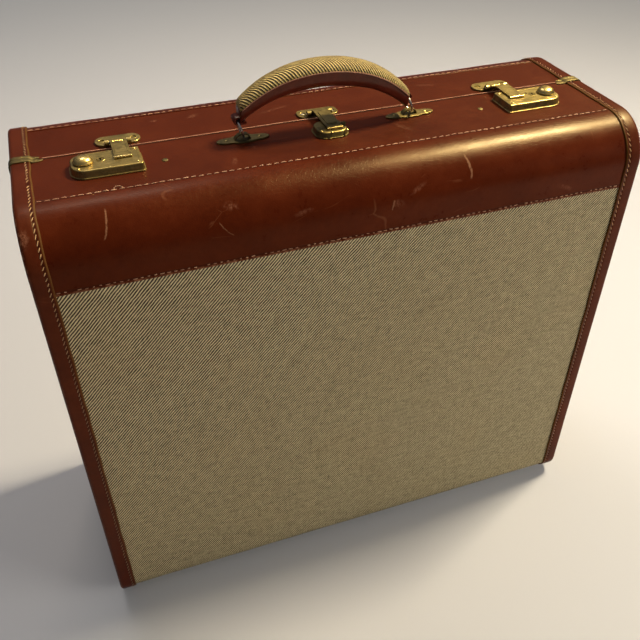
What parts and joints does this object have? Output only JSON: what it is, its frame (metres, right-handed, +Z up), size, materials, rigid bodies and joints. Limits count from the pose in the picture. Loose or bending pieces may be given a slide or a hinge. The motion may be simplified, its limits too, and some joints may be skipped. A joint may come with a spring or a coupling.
{
  "type": "suitcase",
  "caption": "Hard-sided upright suitcase with twill canvas panels, stitched leather wraps and bindings, hinged halves, spring latches, a centre lock and an arched swinging handle.",
  "frame": {"origin": "under the middle of the case, on the floor the feet stand on", "axes": "+X along the case to the right, +Y from the front (handle) half to the back half, +Z up"},
  "size_m": [0.536, 0.21, 0.5238],
  "materials": {
    "case_leather": "glossy red-brown leather with light scratches",
    "binding_leather": "red-brown strip leather, saddle stitched",
    "twill_canvas": "tan and dark brown diagonal twill",
    "board": "thin laminated case board",
    "lining_cloth": "woven lining cloth",
    "rim_board": "cloth-covered rim strip",
    "aged_brass": "aged brass plate, worn bright on the edges",
    "pin_steel": "plain steel",
    "spring_wire": "bright brass spring wire",
    "nickel_wire": "nickelled wire",
    "handle_leather": "smooth dark red-brown leather",
    "handle_twill": "golden coarse twill with dark diagonals"
  },
  "bodies": {
    "back_half": {"back_binding_left": "binding_leather", "back_binding_right": "binding_leather", "back_canvas": "twill_canvas", "back_clip_left": "aged_brass", "back_clip_right": "aged_brass", "back_end_canvas_left": "twill_canvas", "back_end_canvas_right": "twill_canvas", "back_lining": "lining_cloth", "back_pocket": "lining_cloth", "back_shell": "board", "back_top_leather": "case_leather", "back_wrap_leather": "case_leather", "foot_back_left": "aged_brass", "foot_back_right": "aged_brass", "hasp_pin_center": "pin_steel", "hasp_pin_left": "pin_steel", "hasp_pin_right": "pin_steel", "hasp_plate_center": "aged_brass", "hasp_plate_left": "aged_brass", "hasp_plate_right": "aged_brass", "hasp_spring_left": "spring_wire", "hasp_spring_right": "spring_wire", "hinge_leaf_back_left": "aged_brass", "hinge_leaf_back_right": "aged_brass", "hinge_pin_left": "pin_steel", "hinge_pin_right": "pin_steel"},
    "front_half": {"center_lock_base": "aged_brass", "foot_front_left": "aged_brass", "foot_front_right": "aged_brass", "front_binding_left": "binding_leather", "front_binding_right": "binding_leather", "front_canvas": "twill_canvas", "front_clip_left": "aged_brass", "front_clip_right": "aged_brass", "front_end_canvas_left": "twill_canvas", "front_end_canvas_right": "twill_canvas", "front_lining": "lining_cloth", "front_rim": "rim_board", "front_shell": "board", "front_top_leather": "case_leather", "front_wrap_leather": "case_leather", "handle_mount_left": "aged_brass", "handle_mount_right": "aged_brass", "hinge_leaf_front_left": "aged_brass", "hinge_leaf_front_right": "aged_brass", "latch_base_left": "aged_brass", "latch_base_right": "aged_brass"},
    "handle": {"handle_canvas": "handle_twill", "handle_leather": "handle_leather", "handle_ring_left": "nickel_wire", "handle_ring_right": "nickel_wire"},
    "left_hasp": {"hasp_left": "aged_brass"},
    "right_hasp": {"hasp_right": "aged_brass"},
    "center_hasp": {"hasp_center": "aged_brass"},
    "left_slider": {"latch_knob_left": "aged_brass"},
    "right_slider": {"latch_knob_right": "aged_brass"},
    "left_key_plug": {"key_plug_left": "pin_steel"},
    "right_key_plug": {"key_plug_right": "pin_steel"}
  },
  "joints": [
    {"name": "case_hinge", "type": "hinge", "parent": "back_half", "child": "front_half", "pos_m": [0, 0.0065, 0.0036], "axis": [1, 0, 0], "range_deg": [0, 90]},
    {"name": "handle_swing", "type": "hinge", "parent": "front_half", "child": "handle", "pos_m": [-0.00385, -0.014, 0.4743], "axis": [1, 0, 0], "range_deg": [-70, 70]},
    {"name": "hasp_left_flip", "type": "hinge", "parent": "back_half", "child": "left_hasp", "pos_m": [-0.1795, 0.01, 0.4666], "axis": [-1, 0, 0], "range_deg": [0, 115]},
    {"name": "hasp_right_flip", "type": "hinge", "parent": "back_half", "child": "right_hasp", "pos_m": [0.1765, 0.01, 0.4666], "axis": [-1, 0, 0], "range_deg": [0, 115]},
    {"name": "hasp_center_flip", "type": "hinge", "parent": "back_half", "child": "center_hasp", "pos_m": [-0.002, 0.01, 0.4666], "axis": [-1, 0, 0], "range_deg": [0, 40]},
    {"name": "key_left_turn", "type": "hinge", "parent": "front_half", "child": "left_key_plug", "pos_m": [-0.197, -0.025, 0.469], "axis": [0, 0, 1], "range_deg": [0, 90]},
    {"name": "key_right_turn", "type": "hinge", "parent": "front_half", "child": "right_key_plug", "pos_m": [0.194, -0.025, 0.469], "axis": [0, 0, 1], "range_deg": [0, 90]},
    {"name": "slider_left", "type": "slide", "parent": "front_half", "child": "left_slider", "axis": [-1, 0, 0], "range_m": [0, 0.004]},
    {"name": "slider_right", "type": "slide", "parent": "front_half", "child": "right_slider", "axis": [1, 0, 0], "range_m": [0, 0.004]}
  ]
}
